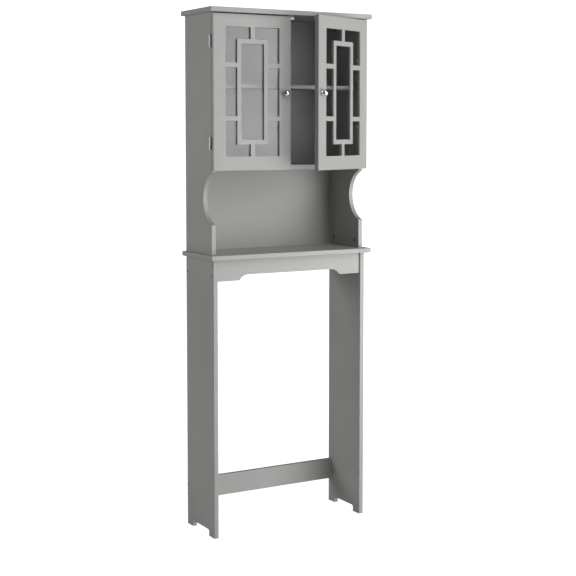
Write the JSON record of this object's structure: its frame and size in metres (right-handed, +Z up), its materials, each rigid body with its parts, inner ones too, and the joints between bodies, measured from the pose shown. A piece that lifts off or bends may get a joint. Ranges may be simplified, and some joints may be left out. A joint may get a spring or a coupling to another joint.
{
  "type": "over the toilet storage rack",
  "caption": "Tall bathroom rack on two leg panels: open space for a toilet, a ledge with a scalloped open bay, and a cabinet with glazed fretwork doors and a shelf.",
  "frame": {"origin": "on the floor, at the middle of the bounding box's footprint with the right door ajar as it rests", "axes": "+X to the right seen from the front, +Y from the doors to the wall, +Z up"},
  "size_m": [0.6, 0.3276, 1.7],
  "materials": {
    "painted_board": "pale grey satin paint on fibreboard",
    "painted_hardboard": "pale grey painted hardboard",
    "bare_wood": "bare beech",
    "door_glass": "clear glass",
    "polished_metal": "polished",
    "hinge_steel": "plated, satin",
    "zinc_steel": "zinc plated",
    "cast_zinc": "die cast, dull",
    "catch_plastic": "moulded",
    "clip_plastic": "moulded, translucent white",
    "magnet": "ferrite"
  },
  "bodies": {
    "rack": {"top_board": "painted_board", "left_side_panel": "painted_board", "right_side_panel": "painted_board", "cabinet_floor": "painted_board", "back_panel": "painted_hardboard", "middle_board": "painted_board", "left_leg_panel": "painted_board", "right_leg_panel": "painted_board", "front_apron": "painted_board", "rear_apron": "painted_board", "lower_rear_stretcher": "painted_board", "cam_locks": "cast_zinc", "cam_bolts": "zinc_steel", "wood_dowels": "bare_wood", "rail_screws": "zinc_steel", "shelf_pins": "zinc_steel", "left_upper_hinge_frame_leaf": "hinge_steel", "left_lower_hinge_frame_leaf": "hinge_steel", "right_upper_hinge_frame_leaf": "hinge_steel", "right_lower_hinge_frame_leaf": "hinge_steel", "left_upper_hinge_pin": "hinge_steel", "left_lower_hinge_pin": "hinge_steel", "right_upper_hinge_pin": "hinge_steel", "right_lower_hinge_pin": "hinge_steel", "hinge_frame_screws": "zinc_steel", "catch_body": "catch_plastic", "catch_magnets": "magnet", "catch_screws": "zinc_steel"},
    "left_door": {"left_door_frame": "painted_board", "left_door_glass": "door_glass", "left_glass_clips": "clip_plastic", "left_clip_screws": "zinc_steel", "left_knob": "polished_metal", "left_knob_screw": "zinc_steel", "left_strike_plate": "zinc_steel", "left_strike_screw": "zinc_steel", "left_hinge_door_screws": "zinc_steel", "left_upper_hinge_door_leaf": "hinge_steel", "left_lower_hinge_door_leaf": "hinge_steel"},
    "right_door": {"right_door_frame": "painted_board", "right_door_glass": "door_glass", "right_glass_clips": "clip_plastic", "right_clip_screws": "zinc_steel", "right_knob": "polished_metal", "right_knob_screw": "zinc_steel", "right_strike_plate": "zinc_steel", "right_strike_screw": "zinc_steel", "right_hinge_door_screws": "zinc_steel", "right_upper_hinge_door_leaf": "hinge_steel", "right_lower_hinge_door_leaf": "hinge_steel"},
    "shelf": {"cabinet_shelf": "painted_board"}
  },
  "joints": [
    {"name": "left_door_hinge", "type": "hinge", "parent": "rack", "child": "left_door", "pos_m": [-0.28835, -0.0247, 1.435], "axis": [0, 0, -1], "range_deg": [0, 170]},
    {"name": "right_door_hinge", "type": "hinge", "parent": "rack", "child": "right_door", "pos_m": [0.28835, -0.0247, 1.435], "axis": [0, 0, 1], "range_deg": [-23.5, 146.5]},
    {"name": "shelf_lift", "type": "slide", "parent": "rack", "child": "shelf", "axis": [0, 0, 1], "range_m": [0, 0.064]}
  ]
}
